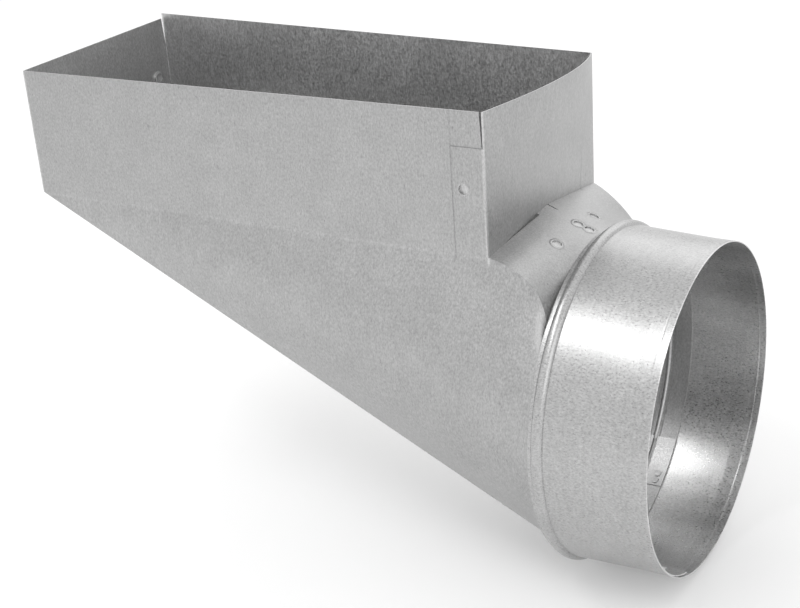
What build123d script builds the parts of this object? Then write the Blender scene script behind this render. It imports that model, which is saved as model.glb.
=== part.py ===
from build123d import *
from math import atan, cos, radians, sin, sqrt
import os

# Sheet metal
sheet = 0.5
seat_clearance = 0.1

# Register box, measured outside the sheet
opening_length = 260.35
opening_width = 107.95
panel_height = 63.5

# The rim as it stands: the back left corner rises and the right end panel bows outwards
back_corner_rise = 6.8
left_corner_rise = 4.2
end_bow_reach = 13.5
end_bow_side = 20.0

# Transition between the box and the round neck
throat_reach = 26.5
collar_drop = 80.9
ridge_side = 3.0
ridge_rise = 5.6
front_crease_reach = 25.2
front_crease_drop = 4.5
back_crease_reach = 16.0
back_crease_drop = 8.0
neck_step = 0.4
neck_pull = 2.6

# Collar: a rolled strip, wider at its bead than at its mouth
mouth_radius = 76.2
base_radius = 77.7
collar_length = 53.0
collar_lip = 1.4
bead_width = 5.6
bead_height = 2.0
mouth_band = 10.0
sleeve_lap = 15.6

# Lap of the rolled strip at the bottom of the collar
strip_end_angle = 229.0
strip_lead = 8.5
strip_lap_sweep = 31.0
strip_lap_bend = 64.0
strip_notch = 0.5

# Corner tabs
tab_width = 16.0
tab_top_gap = 15.5
corner_slit_top = 1.6
corner_slit_foot = 0.4

# Throat seam, slit and gap under the end panel
throat_lap_front = 28.0
throat_lap_back = 25.0
throat_lap_start = 6.0
ridge_slit_length = 5.0
ridge_slit_width = 0.7
gap_width = 1.2
gap_start = 12.8
gap_length = 33.8
foot_lap_width = 19.0
foot_lap_start = 4.0

# Working allowances: metal above the rim before trimming, cuts past the metal, grip of a lap under its sheet
trim = 12.0
spare = 2.0
lap_grip = 2.0

# Clinched buttons: a cup's wall starts cup_root of the way down through its sheet
clinch_radius = 2.8
clinch_depth = 0.6
cup_root = 0.8
tab_clinch_depth = 1.1
clinch_row = 16.6
clinch_front = -22.0
clinch_back = 17.0
clinch_last = 22.0
tab_clinch_side = 10.5
tab_clinch_drop = 34.0
dimple_radius = 1.3
dimple_insets = (6.5, 3.1)
strip_clinch_inset = 11.5
strip_clinch_angle = 244.0
strip_clinch_depth = 2.2

# Working heights and places that follow from the sizes above
half_length = opening_length / 2
half_width = opening_width / 2
box_bottom = -panel_height
collar_axis = box_bottom - collar_drop
neck_start = half_length + throat_reach
neck_radius = base_radius - sheet - seat_clearance
collar_start = neck_start + collar_lip / 2
bead_start = collar_start + collar_lip
bead_end = bead_start + bead_width
mouth = collar_start + collar_length
sleeve_end = neck_start + sleeve_lap
far = 2 * (opening_length + collar_drop)
bead_middle = (bead_start + bead_end) / 2
bead_arc = ((bead_width / 2) ** 2 + bead_height**2) / (2 * bead_height)
collar_line = Axis((0, 0, collar_axis), (1, 0, 0))
collar_fall = (base_radius - mouth_radius) / (mouth - mouth_band - bead_end)


def on_neck(angle, radius, place=neck_start):
    # A point at this angle and distance from the collar's axis
    turn = radians(angle)
    return (place, radius * cos(turn), collar_axis + radius * sin(turn))


def between(first, second, share=0.5):
    return tuple(a + share * (b - a) for a, b in zip(first, second))


def boot(inset):
    # The closed solid inside the sheet surface that lies this far within the outer one
    x = half_length - inset
    y = half_width - inset
    end = neck_start - inset
    top = trim + 4 * inset
    bottom_slope = atan((collar_drop + neck_radius) / (opening_length + throat_reach))
    left = box_bottom + inset * (1 - sin(bottom_slope)) / cos(bottom_slope)
    throat_slope = atan((ridge_rise + collar_drop - neck_radius + neck_step) / throat_reach)
    radius = neck_radius - neck_step - inset * (1 - sin(throat_slope)) / cos(throat_slope)
    low_inset = inset * (1 + sin(bottom_slope)) / cos(bottom_slope)
    low_radius = neck_radius - neck_step - neck_pull - low_inset
    right = box_bottom - inset
    front_left = (-x, -y, left)
    front_right = (x, -y, right)
    back_right = (x, y, right)
    back_left = (-x, y, left)
    ridge = (x, ridge_side, right + ridge_rise)
    crest = on_neck(90, radius, end)
    bow = x + end_bow_reach * (top - box_bottom) / panel_height
    front_top = (x, -y, top)
    back_top = (x, y, top)
    bow_top = (bow, end_bow_side, top)
    bow_front = between(front_top, bow_top)
    bow_back = between(bow_top, back_top)
    bow_middle = between(bow_front, bow_back)
    front_crease = (half_length + front_crease_reach, -y, box_bottom - front_crease_drop - inset)
    back_crease = (half_length + back_crease_reach, y, box_bottom - back_crease_drop - inset)
    half = cos(radians(45))
    quarter = cos(radians(22.5))
    low_front = on_neck(225, low_radius, end)
    low_back = on_neck(315, low_radius, end)
    low_middle = on_neck(270, low_radius / half, end)
    high_front = on_neck(135, radius, end)
    high_back = on_neck(45, radius, end)
    side_front = (end, -half * (radius + low_radius), collar_axis + half * (radius - low_radius))
    side_back = (end, half * (radius + low_radius), collar_axis + half * (radius - low_radius))
    top_front = on_neck(112.5, radius / quarter, end)
    top_back = on_neck(67.5, radius / quarter, end)

    def patch(rows, arc_weight=1.0):
        weights = [[1.0] * len(rows[0]) for row in rows]
        weights[-1][len(rows[0]) // 2] = arc_weight
        return Face.make_bezier_surface(rows, weights)

    def flat(*corners):
        return Face(Wire.make_polygon(corners, close=True))

    def side_patch(start, finish, neck_points, crease):
        middle = between(start, finish)
        rows = [
            [start, middle, finish],
            [between(start, neck_points[0]), between(middle, neck_points[1]), crease],
            neck_points,
        ]
        return patch(rows, half)

    def throat_patch(corner, neck_points, crease):
        fall = between(ridge, crest)
        rows = [
            [corner, between(corner, ridge), ridge],
            [crease, between(crease, fall), fall],
            neck_points,
        ]
        return patch(rows, quarter)

    foot = patch(
        [[front_left, between(front_left, back_left), back_left], [low_front, low_middle, low_back]],
        half,
    )
    end_front = patch([[front_top, bow_front, bow_middle], [front_right, between(front_right, ridge), ridge]])
    end_back = patch([[bow_middle, bow_back, back_top], [ridge, between(ridge, back_right), back_right]])
    rim = Wire(
        [
            Edge.make_line((-x, -y, top), front_top),
            Edge.make_bezier(front_top, bow_front, bow_middle),
            Edge.make_bezier(bow_middle, bow_back, back_top),
            Edge.make_line(back_top, (-x, y, top)),
            Edge.make_line((-x, y, top), (-x, -y, top)),
        ]
    )
    neck = Wire(
        [
            Edge.make_bezier(low_front, side_front, high_front, weights=[1, half, 1]),
            Edge.make_bezier(high_front, top_front, crest, weights=[1, quarter, 1]),
            Edge.make_bezier(crest, top_back, high_back, weights=[1, quarter, 1]),
            Edge.make_bezier(high_back, side_back, low_back, weights=[1, half, 1]),
            Edge.make_bezier(low_back, low_middle, low_front, weights=[1, half, 1]),
        ]
    )
    faces = [
        Face(rim),
        flat((-x, -y, top), front_top, front_right, front_left),
        flat((-x, y, top), back_top, back_right, back_left),
        flat((-x, -y, top), (-x, y, top), back_left, front_left),
        end_front,
        end_back,
        side_patch(front_left, front_right, [low_front, side_front, high_front], front_crease),
        side_patch(back_left, back_right, [low_back, side_back, high_back], back_crease),
        foot,
        throat_patch(front_right, [high_front, top_front, crest], front_crease),
        throat_patch(back_right, [high_back, top_back, crest], back_crease),
        Face(neck),
    ]
    with BuildPart() as hull:
        add(Solid(Shell(faces)))
        if inset:
            # Straight way out through the flat ring of sheet at the neck
            extrude(Face(neck), amount=2 * inset, dir=(1, 0, 0))
    return hull.part


def run(inset, start, stop):
    # Edges of a strip surface from its start, over the bead and on to the stop
    level = collar_axis + base_radius - inset
    half_bead = sqrt(bead_height * (2 * bead_arc - 2 * inset - bead_height))
    foot = (bead_middle - half_bead, level)
    heel = (bead_middle + half_bead, level)
    Line((start, level), foot)
    ThreePointArc(foot, (bead_middle, level + bead_height), heel)
    if stop == mouth:
        mouth_level = collar_axis + mouth_radius - inset
        Polyline(heel, (mouth - mouth_band, mouth_level), (mouth, mouth_level))
    else:
        Line(heel, (stop, level - collar_fall * (stop - bead_end)))


def band(inset, stop):
    # A strip one sheet thick with the rolled bead in it, turned about the collar's axis
    start = collar_start if stop == mouth else neck_start + inset - sheet - seat_clearance
    with BuildPart() as strip:
        with BuildSketch(Plane.XZ):
            with BuildLine() as outline:
                run(inset, start, stop)
                run(inset + sheet, start, stop)
                for end in (start, stop):
                    corners = outline.vertices().filter_by_position(Axis.X, end - 0.01, end + 0.01)
                    Line(corners.sort_by(Axis.Z)[0], corners.sort_by(Axis.Z)[-1])
            make_face()
        revolve(axis=collar_line)
    return strip.part


def clinch(places, level, radius=clinch_radius, depth=clinch_depth):
    # Round cups pressed inwards into the sheet at this level, floor and wall one sheet thick
    outer = radius + level * sheet
    deep = (Align.CENTER, Align.CENTER, Align.MAX)
    with Locations(*[place.offset(-(level + cup_root) * sheet) for place in places]):
        Cylinder(outer, depth + (1 - cup_root) * sheet, align=deep)
    with Locations(*[place.offset((1 - level) * sheet) for place in places]):
        Cylinder(outer - sheet, depth + sheet, align=deep, mode=Mode.SUBTRACT)


def on_surface(start, direction):
    # The plane that touches the outer surface where this line first meets it
    line = Axis(start, direction)
    point, normal = outer_boot.find_intersection_points(line)[0]
    return Plane(origin=point, z_dir=normal)


outer_boot = boot(0)
middle_boot = boot(sheet)
inner_boot = boot(2 * sheet)

# The outer layer of sheet over the whole body, with the sleeve that enters the collar
with BuildPart() as skin:
    add(outer_boot)
    with BuildSketch(Plane(origin=(neck_start, 0, collar_axis), z_dir=(1, 0, 0))):
        Circle(neck_radius)
    extrude(amount=sheet)
    add(middle_boot, mode=Mode.SUBTRACT)
    add(band(sheet + seat_clearance, sleeve_end))

# The layer of sheet just inside it, from which the hidden laps are cut
with BuildPart() as lining:
    add(middle_boot)
    with BuildSketch(Plane(origin=(neck_start + sheet, 0, collar_axis), z_dir=(1, 0, 0))):
        Circle(neck_radius - sheet)
    extrude(amount=sheet)
    add(inner_boot, mode=Mode.SUBTRACT)
    add(band(2 * sheet + seat_clearance, sleeve_end))

# The share of the outer layer that belongs to the back piece: back panel, end panel and back of the throat
with BuildPart() as back_zone:
    with BuildSketch(Plane.XZ.offset(sheet - half_width)):
        Rectangle(2 * far, 2 * far)
    extrude(amount=-far)
    with BuildSketch(Plane.YZ.offset(half_length - sheet)):
        with BuildLine():
            Polyline(
                (-far, box_bottom),
                (-half_width, box_bottom),
                (ridge_side, box_bottom + ridge_rise),
                (half_width, box_bottom),
                (far, box_bottom),
                (far, far),
                (-far, far),
                close=True,
            )
        make_face()
    extrude(amount=sheet + end_bow_reach)
    with BuildSketch(Plane.YZ.offset(half_length - sheet)):
        with Locations((throat_lap_back, collar_axis)):
            Rectangle(far, far, align=(Align.MIN, Align.MIN))
    extrude(amount=far)

# Planes on the outer surface at the clinched buttons
row = half_length + clinch_row
throat_spots = [(row, clinch_front), (row, 0), (row, clinch_back), (half_length + clinch_last, 0)]
throat_clinches = [on_surface((x, y, box_bottom + 2 * ridge_rise), (0, 0, -1)) for x, y in throat_spots]
front_clinch = Plane(
    origin=(half_length - tab_clinch_side, -half_width - sheet, -tab_clinch_drop),
    z_dir=(0, -1, 0),
)
left_clinch = Plane(
    origin=(-half_length - sheet, half_width - tab_clinch_side, back_corner_rise - tab_clinch_drop),
    z_dir=(-1, 0, 0),
)
sleeve_radius = neck_radius - collar_fall * (sleeve_end - bead_end) / 2
dimples = []
for inset in dimple_insets:
    side = half_width - foot_lap_width + inset
    drop = sqrt(sleeve_radius**2 - side**2)
    dimple_place = ((bead_end + sleeve_end) / 2, side, collar_axis - drop)
    dimples.append(Plane(origin=dimple_place, z_dir=(0, side, -drop)))

# Front piece: front panel, left end panel and the transition under them as far as the lower back fold
with BuildPart() as front_half:
    add(skin.part)
    add(back_zone.part, mode=Mode.SUBTRACT)
    with BuildSketch(Plane.YZ):
        with BuildLine():
            Polyline(
                (-far, 0),
                (sheet - half_width, 0),
                (half_width, left_corner_rise),
                (half_width, far),
                (-far, far),
                close=True,
            )
        make_face()
    extrude(amount=far, both=True, mode=Mode.SUBTRACT)
    # Slits at the two corners, above the tabs
    with BuildSketch(Plane.XZ.offset(half_width)):
        with BuildLine():
            Polyline(
                (half_length, -tab_top_gap),
                (half_length - sheet - corner_slit_foot, -tab_top_gap),
                (half_length - sheet - corner_slit_top, trim),
                (half_length, trim),
                close=True,
            )
        make_face()
    extrude(amount=2 * sheet, both=True, mode=Mode.SUBTRACT)
    with BuildSketch(Plane.YZ.offset(-half_length)):
        with BuildLine():
            Polyline(
                (half_width, back_corner_rise - tab_top_gap),
                (half_width - sheet - corner_slit_foot, back_corner_rise - tab_top_gap),
                (half_width - sheet - corner_slit_top, trim),
                (half_width, trim),
                close=True,
            )
        make_face()
    extrude(amount=2 * sheet, both=True, mode=Mode.SUBTRACT)
    # Wedge gap under the end panel and slit along the ridge of the throat
    with BuildSketch(Plane.XY.offset(box_bottom)):
        with BuildLine():
            Polyline(
                (half_length - 2 * sheet, gap_start - half_width),
                (half_length, gap_start - half_width),
                (half_length + gap_width, gap_start + gap_length - half_width),
                (half_length - 2 * sheet, gap_start + gap_length - half_width),
                close=True,
            )
        make_face()
        with Locations((half_length - sheet, ridge_side)):
            Rectangle(ridge_slit_length + sheet, ridge_slit_width, align=(Align.MIN, Align.CENTER))
    extrude(amount=2 * ridge_rise, both=True, mode=Mode.SUBTRACT)
    clinch(throat_clinches, 0)
    clinch([front_clinch, left_clinch], 1, clinch_radius, tab_clinch_depth)
    clinch(dimples, 0, dimple_radius)

# Hidden laps of the back piece: under the throat and along the lower back fold
with BuildPart() as throat_lap:
    add(lining.part)
    with BuildSketch(Plane.XY.offset(box_bottom - 2 * ridge_rise)):
        with Locations((half_length + throat_lap_start, -throat_lap_front)):
            Rectangle(
                throat_reach - throat_lap_start,
                throat_lap_front + throat_lap_back + lap_grip,
                align=(Align.MIN, Align.MIN),
            )
    extrude(amount=4 * ridge_rise, mode=Mode.INTERSECT)
with BuildPart() as foot_lap:
    add(lining.part)
    fold_end = on_neck(-45, neck_radius - neck_pull)[2]
    with BuildSketch(Plane.XZ.offset(-half_width - spare)):
        with BuildLine():
            Polyline(
                (foot_lap_start - half_length, box_bottom + lap_grip),
                (neck_start, fold_end + lap_grip),
                (sleeve_end + spare, fold_end + lap_grip),
                (sleeve_end + spare, -far),
                (foot_lap_start - half_length, -far),
                close=True,
            )
        make_face()
    extrude(amount=foot_lap_width + spare, mode=Mode.INTERSECT)

# Back piece: back panel, right end panel and the back of the transition, with the laps and two outer tabs
with BuildPart() as back_half:
    add(skin.part)
    add(back_zone.part, mode=Mode.INTERSECT)
    add(throat_lap.part)
    add(foot_lap.part)
    with BuildSketch(Plane.XZ):
        with BuildLine():
            Polyline(
                (half_length, 0),
                (far, 0),
                (far, far),
                (-half_length - sheet, far),
                (-half_length - sheet, back_corner_rise),
                (-half_length, back_corner_rise),
                close=True,
            )
        make_face()
    extrude(amount=far, both=True, mode=Mode.SUBTRACT)
    with BuildSketch(Plane.XZ.offset(half_width)):
        with Locations((half_length, box_bottom + sheet)):
            Rectangle(tab_width, panel_height - tab_top_gap - sheet, align=(Align.MAX, Align.MIN))
    extrude(amount=sheet)
    with BuildSketch(Plane.YZ.offset(-half_length)):
        with Locations((half_width, box_bottom + sheet)):
            Rectangle(
                tab_width, panel_height + back_corner_rise - tab_top_gap - sheet, align=(Align.MAX, Align.MIN)
            )
    extrude(amount=-sheet)
    clinch(throat_clinches, 1)
    clinch([front_clinch, left_clinch], 0, clinch_radius, tab_clinch_depth)
    clinch(dimples, 1, dimple_radius)

# Collar: one rolled strip with its bead; its inner end runs on under the outer one at the bottom
lead_angle = strip_end_angle - strip_lead
lead_out = Vector(0, cos(radians(lead_angle)), sin(radians(lead_angle)))
lead_plane = Plane(origin=(0, 0, collar_axis), x_dir=(1, 0, 0), z_dir=(0, -lead_out.Z, lead_out.Y))
lap_middle = Vector(0, 0, collar_axis) + (mouth_radius - strip_lap_bend) * lead_out
lap_start = sleeve_end + 2 * sheet
lap_start_radius = base_radius - collar_fall * (lap_start - bead_end)
end_out = Vector(0, cos(radians(strip_end_angle)), sin(radians(strip_end_angle)))
seam_plane = Plane(
    origin=Vector(0, 0, collar_axis) + base_radius * end_out,
    x_dir=(1, 0, 0),
    z_dir=end_out,
)
clinch_out = Vector(0, cos(radians(strip_clinch_angle)), sin(radians(strip_clinch_angle)))
strip_clinch = Plane(
    origin=Vector(mouth - strip_clinch_inset, 0, collar_axis) + mouth_radius * clinch_out,
    z_dir=clinch_out,
)
with BuildPart() as lap:
    with BuildSketch(lead_plane):
        with BuildLine():
            Polyline(
                (lap_start, lap_start_radius - sheet / 2),
                (mouth - mouth_band, mouth_radius - sheet / 2),
                (mouth, mouth_radius - sheet / 2),
                (mouth, mouth_radius - 3 * sheet / 2),
                (mouth - mouth_band, mouth_radius - 3 * sheet / 2),
                (lap_start, lap_start_radius - 3 * sheet / 2),
                close=True,
            )
        make_face()
    revolve(axis=Axis(lap_middle, (1, 0, 0)), revolution_arc=strip_lap_sweep)
with BuildPart() as collar:
    add(band(0, mouth))
    with BuildSketch(seam_plane):
        with Locations((lap_start, 0)):
            Rectangle(mouth - lap_start + sheet, strip_notch, align=(Align.MIN, Align.CENTER))
    extrude(amount=3 * sheet, both=True, mode=Mode.SUBTRACT)
    add(lap.part)
    clinch([strip_clinch], 0, clinch_radius, strip_clinch_depth)

os.makedirs("parts", exist_ok=True)
front_half.part.label = "front_half"
export_step(front_half.part, "parts/front_half.step")
back_half.part.label = "back_half"
export_step(back_half.part, "parts/back_half.step")
collar.part.label = "collar"
export_step(collar.part, "parts/collar.step")
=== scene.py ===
import bmesh
import bpy
import math
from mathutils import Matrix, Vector


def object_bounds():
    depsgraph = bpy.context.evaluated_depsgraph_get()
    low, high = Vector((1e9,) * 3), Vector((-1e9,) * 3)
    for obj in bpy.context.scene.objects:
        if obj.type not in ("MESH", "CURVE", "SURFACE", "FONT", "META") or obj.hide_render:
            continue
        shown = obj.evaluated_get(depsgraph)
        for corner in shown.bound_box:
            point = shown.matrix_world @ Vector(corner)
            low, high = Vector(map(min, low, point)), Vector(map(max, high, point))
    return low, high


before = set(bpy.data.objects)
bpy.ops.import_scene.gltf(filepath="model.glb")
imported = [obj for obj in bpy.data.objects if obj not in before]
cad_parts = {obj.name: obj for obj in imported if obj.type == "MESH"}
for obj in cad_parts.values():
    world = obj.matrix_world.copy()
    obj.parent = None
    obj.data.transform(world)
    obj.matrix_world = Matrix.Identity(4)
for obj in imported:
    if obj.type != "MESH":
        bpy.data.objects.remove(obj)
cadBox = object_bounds()
print("stage: frame loaded")


def linear(hexColour):
    # sRGB hex to the linear colour the shaders work in
    out = []
    for i in (0, 2, 4):
        c = int(hexColour[i:i + 2], 16) / 255
        out.append(c / 12.92 if c <= 0.04045 else ((c + 0.055) / 1.055) ** 2.4)
    return (out[0], out[1], out[2], 1.0)


def addNode(tree, kind, settings=None, links=None):
    # One shader node with its settings and the sockets that feed it
    node = tree.nodes.new(kind)
    for key, value in (settings or {}).items():
        if isinstance(key, str) and hasattr(node, key):
            setattr(node, key, value)
        else:
            node.inputs[key].default_value = value
    for key, source in (links or {}).items():
        tree.links.new(source, node.inputs[key])
    return node


# Camera of the photograph
view = {
    "place": (0.400217, -0.539956, 0.151592),
    "turn": (67.152, 3.8953, 31.3657),
    "lens": 63.173,
    "sensor": 36,
    "shift": -0.002,
    "clipStart": 0.01,
}
cameraData = bpy.data.cameras.new("camera")
cameraData.lens = view["lens"]
cameraData.sensor_width = view["sensor"]
cameraData.shift_x = view["shift"]
cameraData.clip_start = view["clipStart"]
camera = bpy.data.objects.new("camera", cameraData)
camera.location = view["place"]
camera.rotation_euler = [math.radians(a) for a in view["turn"]]
bpy.context.scene.collection.objects.link(camera)
bpy.context.scene.camera = camera
print("stage: camera")


def ridgeHeight(tree, value, middle, width):
    # A narrow ridge, 1 high, where the value is near its middle
    off = addNode(tree, "ShaderNodeMath", {"operation": "SUBTRACT", 1: middle}, {0: value})
    off = addNode(tree, "ShaderNodeMath", {"operation": "ABSOLUTE"}, {0: off.outputs["Value"]})
    ridge = addNode(
        tree, "ShaderNodeMapRange",
        {"From Min": width, "From Max": 0.0, "To Min": 0.0, "To Max": 1.0},
        {"Value": off.outputs["Value"]},
    )
    return ridge.outputs["Result"]


def combined(tree, operation, sources):
    # Several values joined by one operation, such as MULTIPLY, MINIMUM or MAXIMUM
    total = sources[0]
    for source in sources[1:]:
        total = addNode(
            tree, "ShaderNodeMath", {"operation": operation}, {0: total, 1: source}
        ).outputs["Value"]
    return total


def zincMaterial(name, look):
    # Hot dipped zinc on rolled steel: faint cloudy spangle, frosty speckle, fine grain, small dark pits
    # and a soft gloss. Inner faces are painted brighter for the light inside, corners, folds, the collar's lip and
    # buttons carry painted highlights, tab edges are darker, and buttons have a pressed rim.
    material = bpy.data.materials.new(name)
    material.use_nodes = True
    tree = material.node_tree
    tree.nodes.clear()
    coordinates = addNode(tree, "ShaderNodeTexCoord")
    place = coordinates.outputs["Object"]
    parts = addNode(tree, "ShaderNodeSeparateXYZ", {}, {0: place})

    patterns = {}
    for pattern in ("clouds", "speckle", "grain", "pits", "smears"):
        made = look[pattern]
        drawn = addNode(tree, "ShaderNodeMapping", {"Scale": made["stretch"]}, {"Vector": place})
        noise = addNode(
            tree, "ShaderNodeTexNoise",
            {"Scale": 1 / made["size"], "Detail": made["detail"], "Roughness": made["sharpness"]},
            {"Vector": drawn.outputs["Vector"]},
        )
        patterns[pattern] = noise.outputs["Fac"]

    shades = []
    for pattern in ("clouds", "speckle", "grain"):
        made = look[pattern]
        shades.append(addNode(
            tree, "ShaderNodeMapRange",
            {
                "From Min": 0.5 - made["spread"], "From Max": 0.5 + made["spread"],
                "To Min": 1 - made["depth"], "To Max": 1 + made["depth"],
            },
            {"Value": patterns[pattern]},
        ))
    pits = look["pits"]
    shades.append(addNode(
        tree, "ShaderNodeMapRange",
        {
            "From Min": pits["start"], "From Max": pits["start"] + pits["spread"],
            "To Min": 1.0, "To Max": 1 - pits["depth"],
        },
        {"Value": patterns["pits"]},
    ))

    # Faces that look towards the heart of the piece are its inner ones: painted brighter, standing in for the light
    # that falls inside, and smeared by handling
    inner = look["inner"]
    smears = look["smears"]
    innerGain = addNode(
        tree, "ShaderNodeMapRange",
        {
            "From Min": 0.5 - smears["spread"], "From Max": 0.5 + smears["spread"],
            "To Min": inner["paintedLightGain"] * (1 - smears["depth"]),
            "To Max": inner["paintedLightGain"] * (1 + smears["depth"]),
        },
        {"Value": patterns["smears"]},
    )
    away = addNode(tree, "ShaderNodeVectorMath", {"operation": "SUBTRACT", 1: inner["heart"]}, {0: place})
    outwards = addNode(
        tree, "ShaderNodeVectorMath", {"operation": "DOT_PRODUCT"},
        {0: away.outputs["Vector"], 1: coordinates.outputs["Normal"]},
    )
    shades.append(addNode(
        tree, "ShaderNodeMapRange",
        {"From Min": inner["blend"], "From Max": -inner["blend"], "To Min": 1.0},
        {"Value": outwards.outputs["Value"], "To Max": innerGain.outputs["Result"]},
    ))

    # Pressed rims round the buttons, and a painted highlight on the metal inside them
    button = look["button"]
    rims = []
    buttonSheen = []
    for spot in button["spots"]:
        gap = addNode(tree, "ShaderNodeVectorMath", {"operation": "DISTANCE", 1: spot}, {0: place})
        rims.append(ridgeHeight(tree, gap.outputs["Value"], button["radius"], button["rimWidth"]))
        buttonSheen.append(ridgeHeight(tree, gap.outputs["Value"], 0.0, button["radius"]))
    shades.append(addNode(
        tree, "ShaderNodeMapRange",
        {
            "From Min": button["sheenStart"], "From Max": button["sheenFull"],
            "To Min": 1.0, "To Max": button["sheenGain"],
        },
        {"Value": combined(tree, "MAXIMUM", buttonSheen)},
    ))

    edge = look["edge"]
    if look["kind"] == "box":
        # Painted highlights along the corners, and along the soft fold at the foot of the front and back panels
        alongX = addNode(tree, "ShaderNodeMath", {"operation": "ABSOLUTE"}, {0: parts.outputs["X"]})
        alongY = addNode(tree, "ShaderNodeMath", {"operation": "ABSOLUTE"}, {0: parts.outputs["Y"]})
        besideX = ridgeHeight(tree, alongX.outputs["Value"], edge["x"], edge["width"])
        besideY = ridgeHeight(tree, alongY.outputs["Value"], edge["y"], edge["width"])
        corner = combined(tree, "MINIMUM", [besideX, besideY])
        besideFold = ridgeHeight(tree, parts.outputs["Z"], edge["foldZ"], edge["width"])
        fold = combined(tree, "MINIMUM", [besideFold, besideY])
        foldHighlight = addNode(tree, "ShaderNodeMath", {"operation": "MULTIPLY", 1: edge["foldShare"]}, {0: fold})
        paintedHighlight = combined(tree, "MAXIMUM", [corner, foldHighlight.outputs["Value"]])
        # Darker along the free edge of each outer tab
        tab = look["tab"]
        frontEdge = ridgeHeight(tree, parts.outputs["X"], tab["frontX"], tab["width"])
        frontFace = ridgeHeight(tree, alongY.outputs["Value"], edge["y"] + tab["lift"], tab["width"])
        leftEdge = ridgeHeight(tree, parts.outputs["Y"], tab["leftY"], tab["width"])
        leftFace = ridgeHeight(tree, alongX.outputs["Value"], edge["x"] + tab["lift"], tab["width"])
        tabEdgeDarkening = combined(tree, "MAXIMUM", [
            combined(tree, "MINIMUM", [frontEdge, frontFace]),
            combined(tree, "MINIMUM", [leftEdge, leftFace]),
        ])
        shades.append(addNode(
            tree, "ShaderNodeMapRange", {"To Min": 1.0, "To Max": tab["shade"]}, {"Value": tabEdgeDarkening},
        ))
    else:
        # A painted highlight on the cut lip of the collar, and a faint line pressed round it behind the lip
        paintedHighlight = ridgeHeight(tree, parts.outputs["X"], edge["x"], edge["width"])
        line = look["line"]
        pressed = ridgeHeight(tree, parts.outputs["X"], line["x"], line["width"])
        faint = addNode(tree, "ShaderNodeMath", {"operation": "MULTIPLY", 1: line["height"]}, {0: pressed})
        rims.append(faint.outputs["Value"])
    # Brighter where the painted highlights lie
    shades.append(addNode(
        tree, "ShaderNodeMapRange", {"To Min": 1.0, "To Max": edge["paintedLightGain"]}, {"Value": paintedHighlight},
    ))

    shade = combined(tree, "MULTIPLY", [node.outputs["Result"] for node in shades])
    colour = addNode(
        tree, "ShaderNodeVectorMath", {"operation": "SCALE", 0: linear(look["metal"])[:3]},
        {"Scale": shade},
    )
    gloss = look["gloss"]
    rough = addNode(
        tree, "ShaderNodeMapRange",
        {
            "From Min": 0.5 - gloss["spread"], "From Max": 0.5 + gloss["spread"],
            "To Min": gloss["smooth"], "To Max": gloss["rough"],
        },
        {"Value": patterns["speckle"]},
    )
    frost = addNode(
        tree, "ShaderNodeBump", {"Strength": gloss["bump"], "Distance": gloss["height"]},
        {"Height": patterns["speckle"]},
    )
    relief = addNode(
        tree, "ShaderNodeBump", {"Strength": button["rimBump"], "Distance": button["rimHeight"]},
        {"Height": combined(tree, "MAXIMUM", rims), "Normal": frost.outputs["Normal"]},
    )
    shader = addNode(
        tree, "ShaderNodeBsdfPrincipled", {"Metallic": 1.0},
        {
            "Base Color": colour.outputs["Vector"],
            "Roughness": rough.outputs["Result"],
            "Normal": relief.outputs["Normal"],
        },
    )
    addNode(tree, "ShaderNodeOutputMaterial", {}, {"Surface": shader.outputs["BSDF"]})
    return material


throatProbe = {"height": -0.03, "direction": (0, 0, -1)}  # rays start beside the end panel, above the throat


def surfaceSpot(x, y):
    # The point on the throat's upper face at this place
    start = Vector((x, y, throatProbe["height"]))
    for nodeName in ("front_half", "back_half"):
        found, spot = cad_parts[nodeName].ray_cast(start, Vector(throatProbe["direction"]))[:2]
        if found:
            break
    return tuple(spot)


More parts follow.
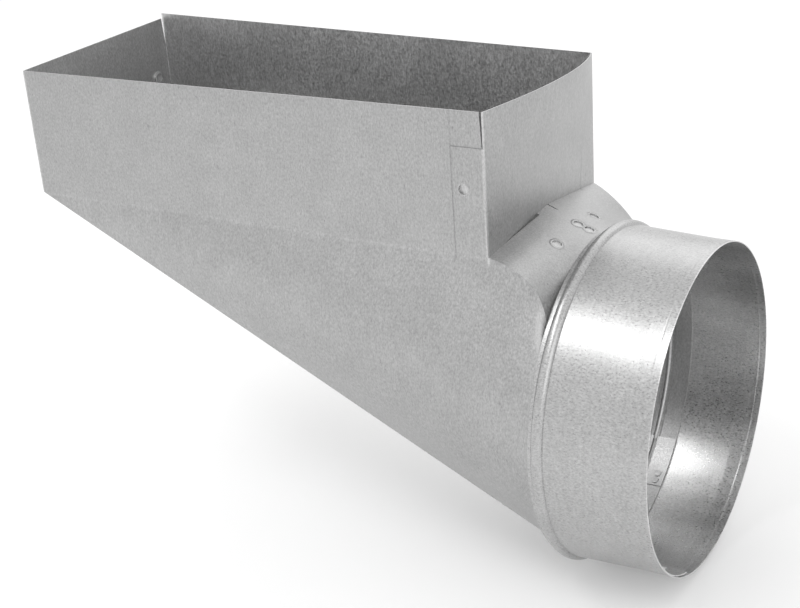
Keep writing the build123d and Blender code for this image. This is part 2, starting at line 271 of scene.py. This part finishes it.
# Sizes in metres. A pattern's size is its grain across, and it is longer along an axis whose stretch is below 1.
sheetLook = {
    "kind": "box",
    "metal": "AEAEAE",  # zinc grey
    "clouds": {  # spangle, 18 mm
        "size": 0.018, "stretch": (1.0, 1.0, 1.0), "detail": 4.0, "sharpness": 0.6, "spread": 0.2, "depth": 0.04,
    },
    "speckle": {  # frost of the zinc, too fine to show as it is, so drawn 0.7 mm
        "size": 0.0007, "stretch": (1.0, 1.0, 0.5), "detail": 2.0, "sharpness": 0.7, "spread": 0.25, "depth": 0.26,
    },
    "grain": {  # rolling grain, 1.2 mm across and 10 mm long
        "size": 0.0012, "stretch": (1.0, 1.0, 0.12), "detail": 3.0, "sharpness": 0.6, "spread": 0.25, "depth": 0.06,
    },
    "pits": {  # dark pits, 1.6 mm apart or more
        "size": 0.0016, "stretch": (1.0, 1.0, 0.4), "detail": 1.0, "sharpness": 0.5,
        "start": 0.74, "spread": 0.06, "depth": 0.2,
    },
    "smears": {  # handling smears on the inner faces, 45 mm
        "size": 0.045, "stretch": (1.0, 1.0, 0.5), "detail": 2.0, "sharpness": 0.5, "spread": 0.15, "depth": 0.07,
    },
    # inner faces painted brighter: painted light standing in for the light that falls inside the box
    "inner": {"paintedLightGain": 1.30, "heart": (0.05, 0.0, -0.1), "blend": 0.001},
    "gloss": {"smooth": 0.30, "rough": 0.52, "spread": 0.2, "bump": 0.14, "height": 0.0002},
    # painted highlights along the corners and along the fold at the foot of the panels
    "edge": {
        "x": 0.130175, "y": 0.053975, "width": 0.0011, "paintedLightGain": 1.5, "foldZ": -0.0639, "foldShare": 0.16,
    },
    # darker along the free edge of each outer tab
    "tab": {"frontX": 0.1144, "leftY": 0.0382, "lift": 0.0005, "width": 0.0007, "shade": 0.7},
    "button": {
        "spots": [
            surfaceSpot(0.146775, -0.022), surfaceSpot(0.146775, 0.0), surfaceSpot(0.146775, 0.017),
            surfaceSpot(0.152175, 0.0), (0.119675, -0.054475, -0.034), (-0.130675, 0.043475, -0.0272),
        ],
        "radius": 0.0032, "rimWidth": 0.0007, "rimBump": 0.5, "rimHeight": 0.0004,
        # painted highlight on the metal inside the buttons
        "sheenStart": 0.05, "sheenFull": 0.3, "sheenGain": 1.25,
    },
}
# The collar's sheet is rolled the other way, smoother, and more smeared inside
collarLook = dict(sheetLook)
collarLook.update({
    "kind": "collar",
    "metal": "B4B4B4",
    "speckle": dict(sheetLook["speckle"], stretch=(0.6, 1.0, 1.0)),
    "grain": dict(sheetLook["grain"], stretch=(1.0, 0.15, 0.15)),
    "pits": dict(sheetLook["pits"], size=0.0009, stretch=(0.32, 1.0, 1.0), start=0.75, depth=0.40),
    "smears": dict(sheetLook["smears"], size=0.03, stretch=(0.2, 1.0, 1.0), depth=0.2),
    # the collar's inner faces painted brighter still, for the light inside the collar
    "inner": {"paintedLightGain": 1.52, "heart": (0.18, 0.0, -0.1444), "blend": 0.001},
    "gloss": dict(sheetLook["gloss"], smooth=0.24, rough=0.44),
    # painted highlight along the collar's lip
    "edge": {"x": 0.2105, "width": 0.0006, "paintedLightGain": 1.5},
    "line": {"x": 0.2069, "width": 0.0006, "height": 0.3},
    # a brighter painted highlight inside the collar's button
    "button": dict(sheetLook["button"], spots=[(0.198875, -0.0334, -0.2129)], sheenGain=1.5),
})
sheetMaterials = {
    "front_half": zincMaterial("galvanisedSheetFront", sheetLook),
    "back_half": zincMaterial("galvanisedSheetBack", sheetLook),
    "collar": zincMaterial("galvanisedSheetCollar", collarLook),
}
for nodeName, material in sheetMaterials.items():
    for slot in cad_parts[nodeName].material_slots:
        slot.material = material
print("stage: sheet metal")


def seenRays(tree):
    # 1 for camera, glossy and transmission rays, 0 for the light that falls on things
    rays = addNode(tree, "ShaderNodeLightPath")
    return combined(tree, "MAXIMUM", [
        rays.outputs["Is Camera Ray"], rays.outputs["Is Glossy Ray"], rays.outputs["Is Transmission Ray"],
    ])


# Floor just under the collar's bead, white to the camera apart from the shadow
floorLook = {"size": 60.0, "gap": 0.0005, "colour": "E6E6E6", "lift": 0.19}
floorMesh = bpy.data.meshes.new("floor")
floorShape = bmesh.new()
bmesh.ops.create_grid(floorShape, x_segments=1, y_segments=1, size=floorLook["size"] / 2)
floorShape.to_mesh(floorMesh)
floorShape.free()
floor = bpy.data.objects.new("floor", floorMesh)
floor.location = (0, 0, cadBox[0][2] - floorLook["gap"])
bpy.context.scene.collection.objects.link(floor)
floorMaterial = bpy.data.materials.new("paleStudioFloor")  # matt white paper, lifted a little where it is seen
floorMaterial.use_nodes = True
tree = floorMaterial.node_tree
tree.nodes.clear()
lift = addNode(
    tree, "ShaderNodeMath", {"operation": "MULTIPLY", 1: floorLook["lift"]}, {0: seenRays(tree)},
)
pale = addNode(tree, "ShaderNodeBsdfDiffuse", {"Color": linear(floorLook["colour"])})
glow = addNode(tree, "ShaderNodeEmission", {"Color": (1, 1, 1, 1)}, {"Strength": lift.outputs["Value"]})
both = addNode(tree, "ShaderNodeAddShader", {}, {0: pale.outputs["BSDF"], 1: glow.outputs["Emission"]})
addNode(tree, "ShaderNodeOutputMaterial", {}, {"Surface": both.outputs["Shader"]})
floorMesh.materials.append(floorMaterial)
print("stage: floor")

# Soft studio light: a pale room that is seen as plain white, and three panels
roomLook = {"level": 0.92}
world = bpy.data.worlds.new("paleRoom")
bpy.context.scene.world = world
world.use_nodes = True
tree = world.node_tree
tree.nodes.clear()
strength = addNode(
    tree, "ShaderNodeMapRange", {"To Min": roomLook["level"], "To Max": 1.0}, {"Value": seenRays(tree)},
)
room = addNode(tree, "ShaderNodeBackground", {"Color": (1, 1, 1, 1)}, {"Strength": strength.outputs["Result"]})
addNode(tree, "ShaderNodeOutputWorld", {}, {"Surface": room.outputs["Background"]})

panels = {
    "backPanel": {  # large, high behind the box: soft light from above
        "place": (-0.2, 1.35, 0.85), "aim": (0.05, 0.0, -0.1), "size": (2.2, 1.0), "power": 4.6,
    },
    "frontStrip": {  # long and narrow, high in front: the white band along the collar
        "place": (-0.34, -0.6, 1.08), "aim": (0.19, 0.0, -0.14), "size": (1.2, 0.27), "power": 5.0,
    },
    "sidePanel": {  # small, off to the right: a little more light inside the collar
        "place": (0.95, -0.55, 0.35), "aim": (0.2, 0.0, -0.14), "size": (0.7, 0.7), "power": 1.4,
    },
}
for name, look in panels.items():
    data = bpy.data.lights.new(name, "AREA")
    data.shape = "RECTANGLE"
    data.size, data.size_y = look["size"]
    data.energy = look["power"]
    light = bpy.data.objects.new(name, data)
    light.location = look["place"]
    aim = Vector(look["aim"]) - Vector(look["place"])
    light.rotation_euler = aim.to_track_quat("-Z", "Y").to_euler()
    bpy.context.scene.collection.objects.link(light)
print("stage: light")

bpy.context.scene.view_settings.view_transform = "Standard"
